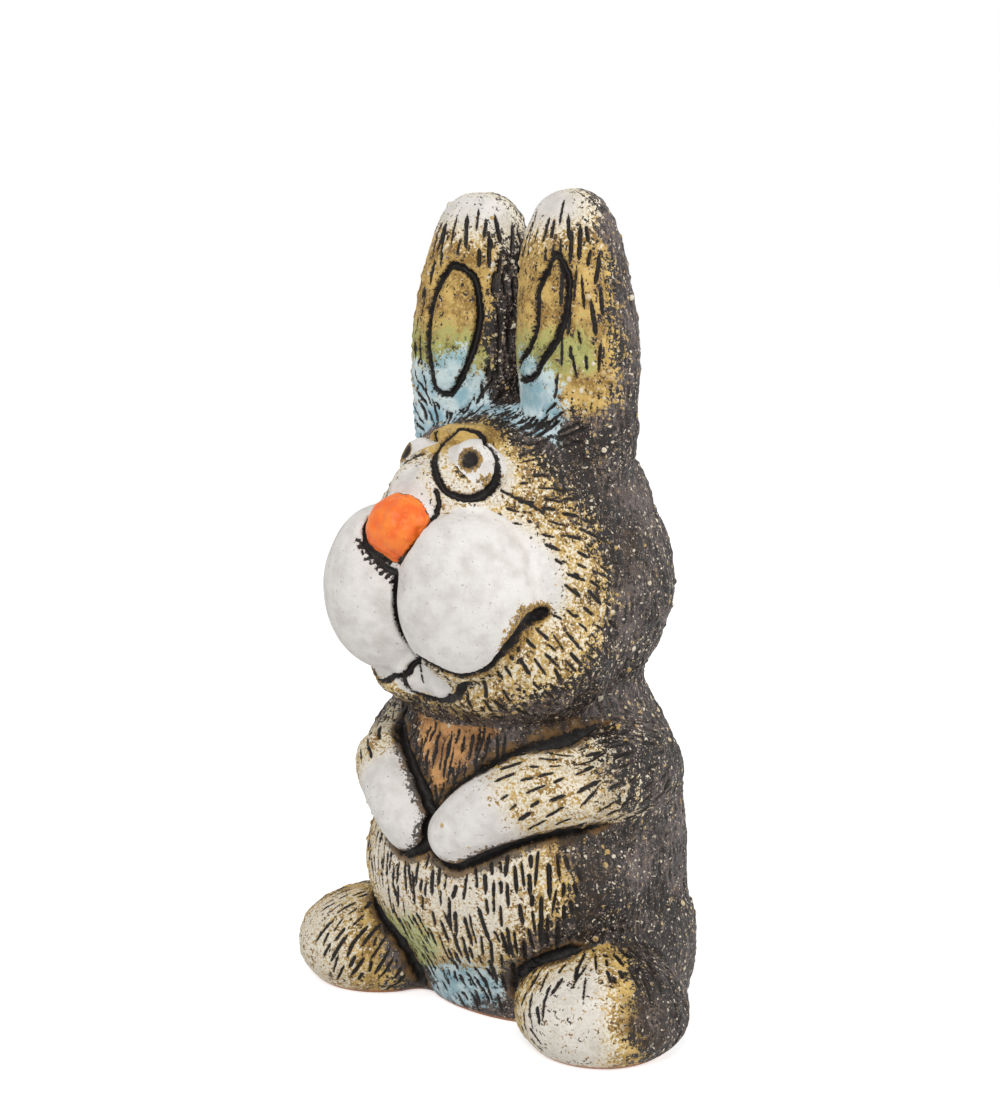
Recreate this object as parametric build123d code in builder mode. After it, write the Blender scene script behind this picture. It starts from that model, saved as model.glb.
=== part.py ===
from build123d import *
import os

# Sitting rabbit figurine in grogged stoneware, hand-built from separate clay pieces that are
# luted together with slip. It faces -Y, its left side is +X, and its base lies on Z = 0.
# All sizes are in millimetres and angles in degrees.

# Walls, hollows and cuts
clay_wall = 6.0
base_rim_height = 5.0
base_opening_width = 24.0
base_opening_depth = 19.0
neck_bore = 17.0
cut_overrun = 5.0

# Torso: a round pot whose cross-section is an ellipse at every height
torso_width = 47.5
torso_depth = 43.0
torso_height = 51.0
torso_centre_y = 2.6
# height share, half-width share, half-depth share
torso_section_shares = [
    (0.00, 0.76, 0.62),
    (0.07, 0.87, 0.73),
    (0.20, 0.97, 0.89),
    (0.39, 1.00, 1.00),
    (0.59, 0.98, 0.98),
    (0.71, 0.95, 0.95),
    (0.81, 0.89, 0.89),
    (0.89, 0.79, 0.80),
    (1.00, 0.70, 0.73),
]

# Belly: a round swelling on the front of the torso
belly_width = 48.0
belly_depth = 34.0
belly_height = 35.0
belly_stand_out = 1.6
belly_height_share = 0.41

# Haunches on either side of the base
haunch_width = 24.0
haunch_depth = 31.0
haunch_height = 34.0
haunch_stand_out = 1.6
haunch_centre_y = 3.5
haunch_height_share = 0.28

# Hind feet, splayed outwards
foot_width = 24.5
foot_length = 26.0
foot_height = 16.5
foot_splay = 48.0
foot_centre_x = 22.2
foot_centre_y = -7.9
foot_height_share = 0.35

# Arms: each runs round the torso from the shoulder to the paw on the belly
arm_thickness = 13.0
# half-width share, half-depth share and height share of the torso, and thickness share
arm_station_shares = [
    (0.78, 0.10, 0.73, 1.00),
    (0.79, -0.33, 0.745, 1.04),
    (0.62, -0.67, 0.715, 0.92),
    (0.42, -0.87, 0.665, 0.80),
    (0.26, -0.955, 0.61, 0.73),
    (0.19, -0.97, 0.58, 0.68),
]

# Head: cranium, crown, snout and chin
cranium_width = 45.0
cranium_depth = 43.0
cranium_height = 42.0
cranium_centre_y = 0.0
cranium_sink = 8.5
crown_width = 38.5
crown_depth = 37.0
crown_height = 34.0
crown_rise = 9.5
snout_width = 22.0
snout_depth = 28.0
snout_height = 30.0
snout_stand_out = 4.5
snout_rise = 6.5
chin_width = 43.0
chin_depth = 28.0
chin_height = 27.0
chin_set_back = 0.0
chin_drop = 7.5

# Muzzle pads, one on each side of the middle line
muzzle_width = 20.0
muzzle_depth = 19.0
muzzle_height = 24.0
muzzle_spread = 7.6
muzzle_stand_out = 2.9
muzzle_rise = 0.4

# Nose
nose_width = 10.0
nose_depth = 7.5
nose_height = 8.6
nose_stand_out = 3.1
nose_rise = 10.0

# Eyes
eye_width = 8.4
eye_depth = 5.6
eye_height = 8.6
eye_spread = 5.2
eye_set_back = 5.9
eye_drop = 8.8
eye_turn = 18.0

# Front teeth
tooth_width = 5.4
tooth_depth = 6.0
tooth_height = 8.5
tooth_gap = 0.3
tooth_set_back = 3.7
tooth_drop = 10.2

# Ears
ear_width = 19.2
ear_depth = 16.8
ear_length = 44.1
ear_sink = 14.0
ear_spread = 11.4
ear_centre_y = 0.6
ear_lean = 4.0
ear_turn = 17.0
# length share and half-width share of the ear's outline, from its root to below its tip
ear_outline_shares = [
    (0.00, 0.74),
    (0.14, 0.86),
    (0.27, 0.92),
    (0.46, 1.00),
    (0.63, 0.95),
    (0.82, 0.80),
    (0.93, 0.60),
]
ear_leaf_width = 6.4
ear_leaf_length = 17.6
ear_leaf_height_share = 0.54
ear_groove_width = 1.0
ear_groove_depth = 1.0

# Tail
tail_width = 13.0
tail_depth = 13.0
tail_height = 14.0
tail_height_share = 0.24

# Places that follow from the sizes above
head_centre_z = torso_height - cranium_sink + cranium_height / 2
torso_front_y = torso_centre_y - torso_depth / 2
cranium_front_y = cranium_centre_y - cranium_depth / 2
crown_centre_z = head_centre_z + crown_rise
crown_top_z = crown_centre_z + crown_height / 2
snout_front_y = cranium_front_y - snout_stand_out
nose_front_y = snout_front_y - nose_stand_out


def write_piece(part, name):
    """Labels a finished piece and writes it under its name."""
    part.label = name
    export_step(part, f"parts/{name}.step")


def write_pair(left_part, name):
    """Writes a left piece and its mirror image on the right."""
    write_piece(left_part, f"left_{name}")
    write_piece(mirror(left_part, about=Plane.YZ), f"right_{name}")


def lobe(width, depth, height):
    """An egg-shaped lump of clay of that size, centred on the origin."""
    with BuildPart() as lump:
        Sphere(1)
        scale(by=(width / 2, depth / 2, height / 2))
    return lump.part


def stacked_ellipses(sections):
    """A smooth solid through ellipses given as (height, half-width, half-depth)."""
    with BuildPart() as stack:
        for height, half_width, half_depth in sections:
            with BuildSketch(Plane.XY.offset(height)):
                with Locations((0, torso_centre_y)):
                    Ellipse(half_width, half_depth)
        loft()
    return stack.part


# Torso as an uncut form, which also cuts the seats of the pieces that lie on it
torso_sections = [
    (z_share * torso_height, x_share * torso_width / 2, y_share * torso_depth / 2)
    for z_share, x_share, y_share in torso_section_shares
]
belly_centre = (
    0,
    torso_front_y - belly_stand_out + belly_depth / 2,
    belly_height_share * torso_height,
)
with BuildPart() as torso_form:
    add(stacked_ellipses(torso_sections))
    with Locations(belly_centre):
        add(lobe(belly_width, belly_depth, belly_height))
    split(bisect_by=Plane.XY, keep=Keep.TOP)

# Head as an uncut form
head_centre = (0, cranium_centre_y, head_centre_z)
with BuildPart() as head_form:
    with Locations(head_centre):
        add(lobe(cranium_width, cranium_depth, cranium_height))
    with Locations((0, cranium_centre_y, crown_centre_z)):
        add(lobe(crown_width, crown_depth, crown_height))
    with Locations((0, snout_front_y + snout_depth / 2, head_centre_z + snout_rise)):
        add(lobe(snout_width, snout_depth, snout_height))
    with Locations((0, cranium_front_y + chin_set_back + chin_depth / 2, head_centre_z - chin_drop)):
        add(lobe(chin_width, chin_depth, chin_height))

# Hollow of the figure: open through the base, up the neck and into the head
hollow_sections = [
    (-cut_overrun, base_opening_width / 2, base_opening_depth / 2),
    (base_rim_height, base_opening_width / 2, base_opening_depth / 2),
]
for height, half_width, half_depth in torso_sections[3:5]:
    hollow_sections.append((height, half_width - clay_wall, half_depth - clay_wall))
hollow_sections.append((torso_height, neck_bore / 2, neck_bore / 2))
hollow_sections.append((torso_height + clay_wall, neck_bore / 2, neck_bore / 2))
with BuildPart() as hollow_form:
    add(stacked_ellipses(hollow_sections))
    with Locations(head_centre):
        add(
            lobe(
                cranium_width - 2 * clay_wall,
                cranium_depth - 2 * clay_wall,
                cranium_height - 2 * clay_wall,
            )
        )

with BuildPart() as torso_shell:
    add(torso_form.part)
    add(hollow_form.part, mode=Mode.SUBTRACT)

# Left eyeball, turned outwards
eye_centre = (eye_spread, cranium_front_y + eye_set_back, crown_top_z - eye_drop)
with BuildPart() as left_eye:
    with Locations(Location(eye_centre, (0, 0, eye_turn))):
        add(lobe(eye_width, eye_depth, eye_height))

# The head holds each eyeball in a socket of the eyeball's own shape
with BuildPart() as head_shell:
    add(head_form.part)
    add(torso_form.part, mode=Mode.SUBTRACT)
    add(hollow_form.part, mode=Mode.SUBTRACT)
    add(left_eye.part, mode=Mode.SUBTRACT)
    add(mirror(left_eye.part, about=Plane.YZ), mode=Mode.SUBTRACT)

# Left haunch: the swell of the thigh, seated on the torso
haunch_centre_x = torso_width / 2 + haunch_stand_out - haunch_width / 2
with BuildPart() as left_haunch:
    with Locations((haunch_centre_x, haunch_centre_y, haunch_height_share * haunch_height)):
        add(lobe(haunch_width, haunch_depth, haunch_height))
    split(bisect_by=Plane.XY, keep=Keep.TOP)
    add(torso_form.part, mode=Mode.SUBTRACT)

# Left hind foot, flat underneath
foot_centre = (foot_centre_x, foot_centre_y, foot_height_share * foot_height)
with BuildPart() as left_foot:
    with Locations(Location(foot_centre, (0, 0, foot_splay))):
        add(lobe(foot_width, foot_length, foot_height))
    split(bisect_by=Plane.XY, keep=Keep.TOP)
    add(torso_form.part, mode=Mode.SUBTRACT)
    add(left_haunch.part, mode=Mode.SUBTRACT)

# Left arm with its paw
arm_centres = [
    Vector(
        x_share * torso_width / 2,
        torso_centre_y + y_share * torso_depth / 2,
        z_share * torso_height,
    )
    for x_share, y_share, z_share, thickness_share in arm_station_shares
]
arm_radii = [thickness_share * arm_thickness / 2 for *place, thickness_share in arm_station_shares]
with BuildPart() as left_arm:
    for index, (centre, radius) in enumerate(zip(arm_centres, arm_radii)):
        before = arm_centres[max(index - 1, 0)]
        after = arm_centres[min(index + 1, len(arm_centres) - 1)]
        with BuildSketch(Plane(origin=centre, x_dir=(0, 0, 1), z_dir=after - before)):
            Circle(radius)
    loft()
    for end in (0, -1):
        with Locations(arm_centres[end]):
            Sphere(arm_radii[end])
    add(torso_form.part, mode=Mode.SUBTRACT)

# Left half of the muzzle, flat against its neighbour on the middle line
muzzle_centre_y = snout_front_y - muzzle_stand_out + muzzle_depth / 2
with BuildPart() as left_muzzle_pad:
    with Locations((muzzle_spread, muzzle_centre_y, head_centre_z + muzzle_rise)):
        add(lobe(muzzle_width, muzzle_depth, muzzle_height))
    split(bisect_by=Plane.YZ, keep=Keep.TOP)
    add(head_form.part, mode=Mode.SUBTRACT)

# Left front tooth, seated under the muzzle
tooth_centre = (
    (tooth_width + tooth_gap) / 2,
    snout_front_y + tooth_set_back + tooth_depth / 2,
    head_centre_z - tooth_drop,
)
with BuildPart() as left_tooth:
    with Locations(tooth_centre):
        add(lobe(tooth_width, tooth_depth, tooth_height))
    add(head_form.part, mode=Mode.SUBTRACT)
    add(left_muzzle_pad.part, mode=Mode.SUBTRACT)


def round_ear(thinning):
    """An ear with a round cross-section, standing on the origin, thinner by that much all round."""
    outline = [
        (half_width_share * ear_width / 2 - thinning, height_share * ear_length)
        for height_share, half_width_share in ear_outline_shares
    ]
    tip = (0, ear_length - thinning)
    with BuildPart() as cone:
        with BuildSketch(Plane.XZ):
            with BuildLine():
                Spline(*outline, tip, tangents=((0, 1), (-1, 0)))
                Line(tip, (0, 0))
                Line((0, 0), outline[0])
            make_face()
        revolve(axis=Axis.Z)
    return cone.part


# Groove round the inner leaf on the front of an ear, of one depth all along
with BuildPart() as leaf_groove:
    with BuildSketch(Plane.XZ):
        with Locations((0, ear_leaf_height_share * ear_length)):
            Ellipse(ear_leaf_width / 2 + ear_groove_width, ear_leaf_length / 2 + ear_groove_width)
            Ellipse(ear_leaf_width / 2, ear_leaf_length / 2, mode=Mode.SUBTRACT)
    extrude(amount=ear_width / 2 + cut_overrun)
    add(round_ear(ear_groove_depth), mode=Mode.SUBTRACT)

# Ear with its groove, flattened from front to back
with BuildPart() as upright_ear:
    add(round_ear(0))
    add(leaf_groove.part, mode=Mode.SUBTRACT)
    scale(by=(1, ear_depth / ear_width, 1))

# Left ear, leaning inwards and turned towards the middle, luted to the crown
ear_root = Location(
    (ear_spread, ear_centre_y, crown_top_z - ear_sink), (0, -ear_lean, -ear_turn)
)
with BuildPart() as left_ear:
    with Locations(ear_root):
        add(upright_ear.part)
    add(head_form.part, mode=Mode.SUBTRACT)

with BuildPart() as nose:
    with Locations((0, nose_front_y + nose_depth / 2, head_centre_z + nose_rise)):
        add(lobe(nose_width, nose_depth, nose_height))
    add(head_form.part, mode=Mode.SUBTRACT)
    add(left_muzzle_pad.part, mode=Mode.SUBTRACT)
    add(mirror(left_muzzle_pad.part, about=Plane.YZ), mode=Mode.SUBTRACT)

# Tail: it reaches as far back as the nose reaches forward
with BuildPart() as tail:
    with Locations((0, -nose_front_y - tail_depth / 2, tail_height_share * torso_height)):
        add(lobe(tail_width, tail_depth, tail_height))
    add(torso_form.part, mode=Mode.SUBTRACT)

os.makedirs("parts", exist_ok=True)
write_piece(torso_shell.part, "torso_shell")
write_piece(head_shell.part, "head_shell")
write_piece(nose.part, "nose")
write_piece(tail.part, "tail")
write_pair(left_haunch.part, "haunch")
write_pair(left_foot.part, "foot")
write_pair(left_arm.part, "arm")
write_pair(left_muzzle_pad.part, "muzzle_pad")
write_pair(left_eye.part, "eye")
write_pair(left_tooth.part, "tooth")
write_pair(left_ear.part, "ear")
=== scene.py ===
"""Looks of the ceramic rabbit figurine: one clay skin, carved, painted and cut into its pieces."""

import functools
import math

import bpy
import numpy as np
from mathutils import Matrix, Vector, kdtree
from mathutils.bvhtree import BVHTree


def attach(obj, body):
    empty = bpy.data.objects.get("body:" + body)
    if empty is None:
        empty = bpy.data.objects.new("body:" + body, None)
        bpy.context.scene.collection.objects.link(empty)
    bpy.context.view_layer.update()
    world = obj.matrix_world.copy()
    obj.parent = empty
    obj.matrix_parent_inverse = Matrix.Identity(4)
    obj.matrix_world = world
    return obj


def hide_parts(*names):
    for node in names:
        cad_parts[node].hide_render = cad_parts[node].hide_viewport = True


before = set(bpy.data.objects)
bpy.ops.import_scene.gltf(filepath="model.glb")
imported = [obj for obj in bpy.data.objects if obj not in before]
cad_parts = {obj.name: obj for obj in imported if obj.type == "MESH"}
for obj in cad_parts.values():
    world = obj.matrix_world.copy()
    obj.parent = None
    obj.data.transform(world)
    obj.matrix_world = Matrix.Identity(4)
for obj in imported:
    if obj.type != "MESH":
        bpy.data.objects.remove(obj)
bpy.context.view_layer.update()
scene = bpy.context.scene
join = np.concatenate
norm = np.linalg.norm

# Units: the sculpting below works in millimetres, Blender in metres
MM = 0.001
RANDOM_SEED = 7
HASH_FACTORS = np.array([73856093, 19349663, 83492791])

# The figure faces minus y, and its left side is at plus x
SIDES = ("left_", "right_")
MIRROR = np.array([-1.0, 1.0, 1.0])

# Photograph: a camera that sees the figure as the picture does
IMAGE_WIDTH = 1000
IMAGE_HEIGHT = 1100
FOCAL_PIXELS = 2112.25
CAMERA_AZIMUTH = math.radians(42.29)
CAMERA_DISTANCE = 308.32
CAMERA_HEIGHT = 110.0
CAMERA_AIM = np.array([-2.448, -2.227, 67.88])
SENSOR_MM = 36.0

# Skin
VOXEL = 0.5
SEAT_OVERLAP = 0.15
OUTER_FLOOR = 0.6
HOLLOW_MIDDLE = (0.0, 2.6)

camera_place = np.array([math.sin(CAMERA_AZIMUTH), -math.cos(CAMERA_AZIMUTH), 0.0]) * CAMERA_DISTANCE
camera_place[2] = CAMERA_HEIGHT


def unit(vectors):
    """The same vectors at length one."""
    length = norm(vectors, axis=-1, keepdims=True)
    return vectors / np.maximum(length, 1e-9)


camera_forward = unit(CAMERA_AIM - camera_place)
camera_right = unit(np.cross(camera_forward, [0.0, 0.0, 1.0]))
camera_up = np.cross(camera_right, camera_forward)


def rising(low, high, value):
    """0 below low, 1 above high, and a smooth rise between them."""
    share = np.clip((value - low) / (high - low), 0, 1)
    return share * share * (3 - 2 * share)


def falling(low, high, value):
    """1 below low, 0 above high, and a smooth fall between them."""
    return 1 - rising(low, high, value)


def to_pixels(points):
    """Where points in millimetres lie in the photograph."""
    offset = points - camera_place
    depth = offset @ camera_forward
    across = IMAGE_WIDTH / 2 + FOCAL_PIXELS * (offset @ camera_right) / depth
    down = IMAGE_HEIGHT / 2 - FOCAL_PIXELS * (offset @ camera_up) / depth
    return np.stack([across, down], -1)


def lumpy(points, size, seed):
    """Smooth noise from -1 to 1 with lumps of about that size."""
    place = points / size + 1000.0
    cell = np.floor(place).astype(np.int64)
    share = rising(0, 1, place - cell)
    total = np.zeros(len(points))
    for corner in np.ndindex(2, 2, 2):
        code = np.bitwise_xor.reduce((cell + corner) * HASH_FACTORS, axis=1) ^ (seed * 9781 + 17)
        code = (code ^ (code >> 13)) * 1274126177 & 0xFFFFFFFF
        code = (code ^ (code >> 16)) & 0xFFFF
        weight = np.prod(np.where(corner, share, 1 - share), axis=1)
        total += weight * (code / 32767.5 - 1)
    return total


def read(items, key, width, kind=np.float32):
    """One value of every item of a mesh, as rows of that width."""
    found = np.zeros(len(items) * width, kind)
    items.foreach_get(key, found)
    return found.reshape(-1, width)


def solids_mesh(names):
    """One mesh of the named CAD nodes, as they are and grown to overlap."""
    corners, grown, faces, owners = [], [], [], []
    offset = 0
    for index, name in enumerate(names):
        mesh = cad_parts[name].data
        mesh.calc_loop_triangles()
        points = read(mesh.vertices, "co", 3).astype(float) / MM
        triangles = read(mesh.loop_triangles, "vertices", 3, np.int32)
        _, first, back = np.unique(np.round(points, 3), axis=0, return_index=True, return_inverse=True)
        triangles = back.reshape(-1)[triangles]
        points = points[first]
        corners.append(points)
        grown.append(points + vertex_normals(points, triangles) * SEAT_OVERLAP)
        faces.append(triangles + offset)
        owners.append(np.full(len(triangles), index))
        offset += len(points)
    return [join(parts) for parts in (corners, grown, faces, owners)]


def vertex_normals(points, faces):
    """Area-weighted vertex normals of a mesh of triangles or quads."""
    corners = [points[faces[:, k]] for k in range(faces.shape[1])]
    if len(corners) == 3:
        cross = np.cross(corners[1] - corners[0], corners[2] - corners[0])
    else:
        cross = np.cross(corners[2] - corners[0], corners[3] - corners[1])
    normals = np.zeros_like(points)
    for axis in range(3):
        for corner in faces.T:
            normals[:, axis] += np.bincount(corner, cross[:, axis], len(points))
    return unit(normals)


def added(name, data):
    """A new object of the scene with that data."""
    holder = bpy.data.objects.new(name, data)
    scene.collection.objects.link(holder)
    return holder


def remeshed(points, faces, voxel):
    """The points and quads of a voxel remesh of a closed mesh."""
    mesh = bpy.data.meshes.new("solids")
    mesh.from_pydata((points * MM).tolist(), [], faces.tolist())
    holder = added("solids", mesh)
    remesh = holder.modifiers.new("remesh", "REMESH")
    remesh.mode = "VOXEL"
    remesh.voxel_size = voxel * MM
    shown = holder.evaluated_get(bpy.context.evaluated_depsgraph_get())
    result = bpy.data.meshes.new_from_object(shown)
    bpy.data.objects.remove(holder)
    bpy.data.meshes.remove(mesh)
    corners = read(result.vertices, "co", 3).astype(float) / MM
    quads = read(result.loops, "vertex_index", 1, np.int32).reshape(-1, 4)
    bpy.data.meshes.remove(result)
    return corners, quads


def sides_of(faces):
    """The sides of one face or of rows of them, as pairs of vertices."""
    return np.stack([faces, np.roll(faces, -1, axis=-1)], -1).reshape(-1, 2)


def side_codes(sides):
    """One whole number for each side, whichever way round it runs."""
    ordered = np.sort(sides, axis=1)
    return ordered[:, 0].astype(np.int64) * (1 << 32) + ordered[:, 1]


def edges_of(quads):
    """Unique edges of quads, and for each quad the edge after each corner."""
    unique, back = np.unique(side_codes(sides_of(quads)), return_inverse=True)
    edges = np.stack([unique >> 32, unique & 0xFFFFFFFF], -1)
    return edges, back.reshape(-1, 4)


def spread(edges, count, start):
    """Which vertices hang together with the start, over edges."""
    reached = np.zeros(count, bool)
    reached[start] = True
    while True:
        touched = reached[edges[:, 0]] | reached[edges[:, 1]]
        before = reached.sum()
        reached[edges[touched].reshape(-1)] = True
        if reached.sum() == before:
            return reached


def relaxed(points, edges, strength, rounds):
    """Points pulled towards their neighbours, each by its own strength."""
    count = len(points)
    strength = np.broadcast_to(strength, count)[:, None]
    degree = np.bincount(edges.reshape(-1), minlength=count).astype(float)[:, None]
    for _ in range(rounds):
        total = np.zeros_like(points)
        for axis in range(points.shape[1]):
            total[:, axis] = np.bincount(edges[:, 0], points[edges[:, 1], axis], count)
            total[:, axis] += np.bincount(edges[:, 1], points[edges[:, 0], axis], count)
        points = points + strength * (total / degree - points)
    return points


def split_quads(values, quads, chosen):
    """The chosen quads split in four, and the new corners in the faces beside them."""
    edges, quad_edges = edges_of(quads)
    edge_used = np.zeros(len(edges), bool)
    edge_used[quad_edges[chosen].reshape(-1)] = True
    edge_point = np.full(len(edges), -1)
    edge_point[edge_used] = len(values) + np.arange(edge_used.sum())
    middles = values[edges[edge_used]].mean(axis=1)
    centre_point = len(values) + len(middles) + np.arange(chosen.sum())
    inner = quads[chosen]
    centres = values[inner].mean(axis=1)
    halves = edge_point[quad_edges[chosen]]
    fine = [np.stack([inner[:, k], halves[:, k], centre_point, halves[:, k - 1]], -1) for k in range(4)]
    rest = quads[~chosen]
    rest_halves = edge_point[quad_edges[~chosen]]
    whole = (rest_halves < 0).all(axis=1)
    pairs = np.stack([rest, rest_halves], -1)[~whole].reshape(-1, 8)
    mixed = [[corner for corner in outline if corner >= 0] for outline in pairs.tolist()]
    return join([values, middles, centres]), join(fine), rest[whole], mixed


class Skin:
    """Points of the whole figure's skin, and the marks pressed into it."""

    def __init__(self, points, quads):
        self.quads = quads
        self.edges, _ = edges_of(quads)
        self.points = points
        self.refresh()

    def refresh(self):
        self.normals = vertex_normals(self.points, self.quads)
        self.tree = kdtree.KDTree(len(self.points))
        for index, point in enumerate(self.points.tolist()):
            self.tree.insert(point, index)
        self.tree.balance()

    def press(self, centres, radii, heights):
        """The highest of the round bumps over each point."""
        result = np.zeros(len(self.points))
        radii, heights = [np.broadcast_to(row, len(centres)) for row in (radii, heights)]
        vertices, distances, owners = [], [], []
        for owner, (centre, radius) in enumerate(zip(centres.tolist(), radii.tolist())):
            for _, index, distance in self.tree.find_range(centre, radius):
                vertices.append(index)
                distances.append(distance)
                owners.append(owner)
        if vertices:
            owners = np.array(owners)
            share = np.array(distances) / radii[owners]
            np.maximum.at(result, np.array(vertices), heights[owners] * falling(0.15, 1, share))
        return result

    def on_skin(self, place):
        """The nearest skin point's own place and normal."""
        _, index, _ = self.tree.find(place)
        return self.points[index], self.normals[index]

    def walk(self, start, direction_at, length, step=0.3):
        """A path over the skin, from start along a direction field."""
        place = np.array(start)
        path = [place]
        for _ in range(max(int(length / step), 1)):
            _, normal = self.on_skin(place)
            heading = direction_at(place)
            heading = unit(heading - normal * (heading @ normal))
            place = place + heading * step
            near, normal = self.on_skin(place)
            place = place - normal * ((place - near) @ normal)
            path.append(place)
        return np.array(path)


# Skin of the whole figure
NAMES = sorted(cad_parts)
INDEX = {name: index for index, name in enumerate(NAMES)}
solid_points, grown_points, solid_faces, solid_owner = solids_mesh(NAMES)
points, quads = remeshed(grown_points, solid_faces, VOXEL)

# Loose bits inside the clay, where pieces overlap, are left out
edges, _ = edges_of(quads)
kept = spread(edges, len(points), points[:, 2].argmax())
renumber = np.cumsum(kept) - 1
quads = renumber[quads[kept[quads].all(axis=1)]]
points = points[kept]
edges, _ = edges_of(quads)

# The hollow is what doesn't hang together with the ear tips above the base rim
above_rim = points[:, 2] > OUTER_FLOOR
upper_edges = edges[above_rim[edges].all(axis=1)]
outside = spread(upper_edges, len(points), points[:, 2].argmax())
off_middle = norm(points[:, :2] - HOLLOW_MIDDLE, axis=1)
hollow = spread(upper_edges, len(points), np.where(outside, np.inf, off_middle).argmin()) & ~outside

# Which solid each point belongs to, fading across the joints
solid_tree = BVHTree.FromPolygons(solid_points.tolist(), solid_faces.tolist())
owner_of = np.array([solid_owner[solid_tree.find_nearest(point)[2]] for point in points.tolist()])
member = np.eye(len(NAMES))[owner_of]
member = relaxed(member, edges, 0.6, 4)
points = relaxed(points, edges, 0.5, 3)


def node_pairs(first, second):
    """The pairs of nodes that two names mean; one without its side means both."""
    pairs = [tuple(name if name in INDEX else side + name for name in (first, second)) for side in SIDES]
    return list(dict.fromkeys(pairs))


# Creases are filled with slip, least where a groove will be cut
SOFT_JOINTS = [
    ("head_shell", "ear", 26),
    ("torso_shell", "haunch", 30),
    ("head_shell", "torso_shell", 12),
    ("torso_shell", "arm", 8),
    ("head_shell", "muzzle_pad", 16),
    ("head_shell", "eye", 3),
    ("left_tooth", "right_tooth", 14),
    ("haunch", "foot", 6),
]
wide_member = relaxed(member, edges, 0.8, 12)
for first, second, rounds in SOFT_JOINTS:
    for one, two in node_pairs(first, second):
        both = 4 * wide_member[:, INDEX[one]] * wide_member[:, INDEX[two]]
        strength = 0.6 * rising(0.02, 0.5, both) * ~hollow
        points = relaxed(points, edges, strength, rounds)

# The leaf grooves of the solids are filled, to be cut again where the photograph shows them
EAR_ROOT = (11.4, 0.6, 76.0)
EAR_LEAN = math.radians(4.0)
EAR_TURN = math.radians(17.0)
LEAF_HEIGHT = 23.8
LEAF_REACH = (6.5, 12.5)
lean_cos, lean_sin = math.cos(EAR_LEAN), math.sin(EAR_LEAN)
turn_cos, turn_sin = math.cos(EAR_TURN), math.sin(EAR_TURN)
lean_axes = np.array([[lean_cos, 0, -lean_sin], [0, 1, 0], [lean_sin, 0, lean_cos]])
turn_axes = np.array([[turn_cos, turn_sin, 0], [-turn_sin, turn_cos, 0], [0, 0, 1]])
ear_axes = lean_axes @ turn_axes


def to_left(points):
    """The same points, with those on the right mirrored to the left."""
    return points * np.where(points[:, :1] < 0, MIRROR, 1.0)


def in_ear(points):
    """How far across and up the ear each point is, and how far off its leaf, 1 at the edge."""
    across, _, up = ((to_left(points) - EAR_ROOT) @ ear_axes).T
    return across, up, np.hypot(across / LEAF_REACH[0], (up - LEAF_HEIGHT) / LEAF_REACH[1])


_, _, off_leaf = in_ear(points)
points = relaxed(points, edges, 0.7 * falling(0.8, 1.1, off_leaf) * ~hollow, 34)

values, fine_quads, coarse_quads, mixed_faces = split_quads(
    join([points, member], axis=1), quads, ~hollow[quads].any(axis=1)
)
all_points = values[:, :3]
all_member = values[:, 3:]
fine_ids = np.unique(fine_quads)
to_fine = np.full(len(all_points), -1)
to_fine[fine_ids] = np.arange(len(fine_ids))
shared = np.zeros(len(all_points), bool)
shared[coarse_quads.reshape(-1)] = True
for face in mixed_faces:
    shared[face] = True
free = ~shared[fine_ids]
skin = Skin(all_points[fine_ids], to_fine[fine_quads])
skin.points = relaxed(skin.points, skin.edges, 0.5 * free, 3)
skin.refresh()
member = all_member[fine_ids]
label = member.argmax(axis=1)


def columns_of(*parts):
    """The numbers of the nodes whose names end so."""
    return [index for index, name in enumerate(NAMES) if name.endswith(parts)]


def is_part(*parts):
    """Which skin points belong to those pieces, on either side."""
    return np.isin(label, columns_of(*parts))


def joint_line(first, second):
    """Points along the joint between two pieces."""
    one, two = INDEX[first], INDEX[second]
    ends = np.sort(label[skin.edges], axis=1)
    edge = skin.edges[(ends == sorted((one, two))).all(axis=1)]
    near, far = (member[edge][:, :, one] - member[edge][:, :, two]).T
    share = np.clip(near / np.where(near == far, 1, near - far), 0, 1)[:, None]
    return skin.points[edge[:, 0]] * (1 - share) + skin.points[edge[:, 1]] * share


def seen_on_skin(pixels):
    """Skin places under points of the photograph."""
    places = []
    for across, down in pixels:
        side = camera_right * (across - IMAGE_WIDTH / 2) / FOCAL_PIXELS
        ray = camera_forward + side - camera_up * (down - IMAGE_HEIGHT / 2) / FOCAL_PIXELS
        hit = solid_tree.ray_cast(Vector(camera_place), Vector(unit(ray)))[0]
        if hit is not None:
            places.append(np.array(hit))
    return np.array(places)


def curve_through(places, closed, step=0.25):
    """A smooth curve through the places, as close points."""
    count = len(places)
    curve = []
    for k in range(count if closed else count - 1):
        around = [(k + j) % count if closed else min(max(k + j, 0), count - 1) for j in (-1, 0, 1, 2)]
        before, start, end, after = places[around]
        for t in np.arange(0, 1, step / max(norm(end - start), step)):
            bend = (2 * before - 5 * start + 4 * end - after) * t**2
            twist = (3 * start - before - 3 * end + after) * t**3
            curve.append(0.5 * (2 * start + (end - before) * t + bend + twist))
    return np.array(curve)


def settled(places):
    """The same places, drawn onto the skin."""
    return np.array([skin.on_skin(place)[0] for place in places])


def mirrored(places):
    """The places and their mirror images."""
    return join([places, places * MIRROR])


view_points = to_left(skin.points)
view_pixels = to_pixels(view_points)


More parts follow.
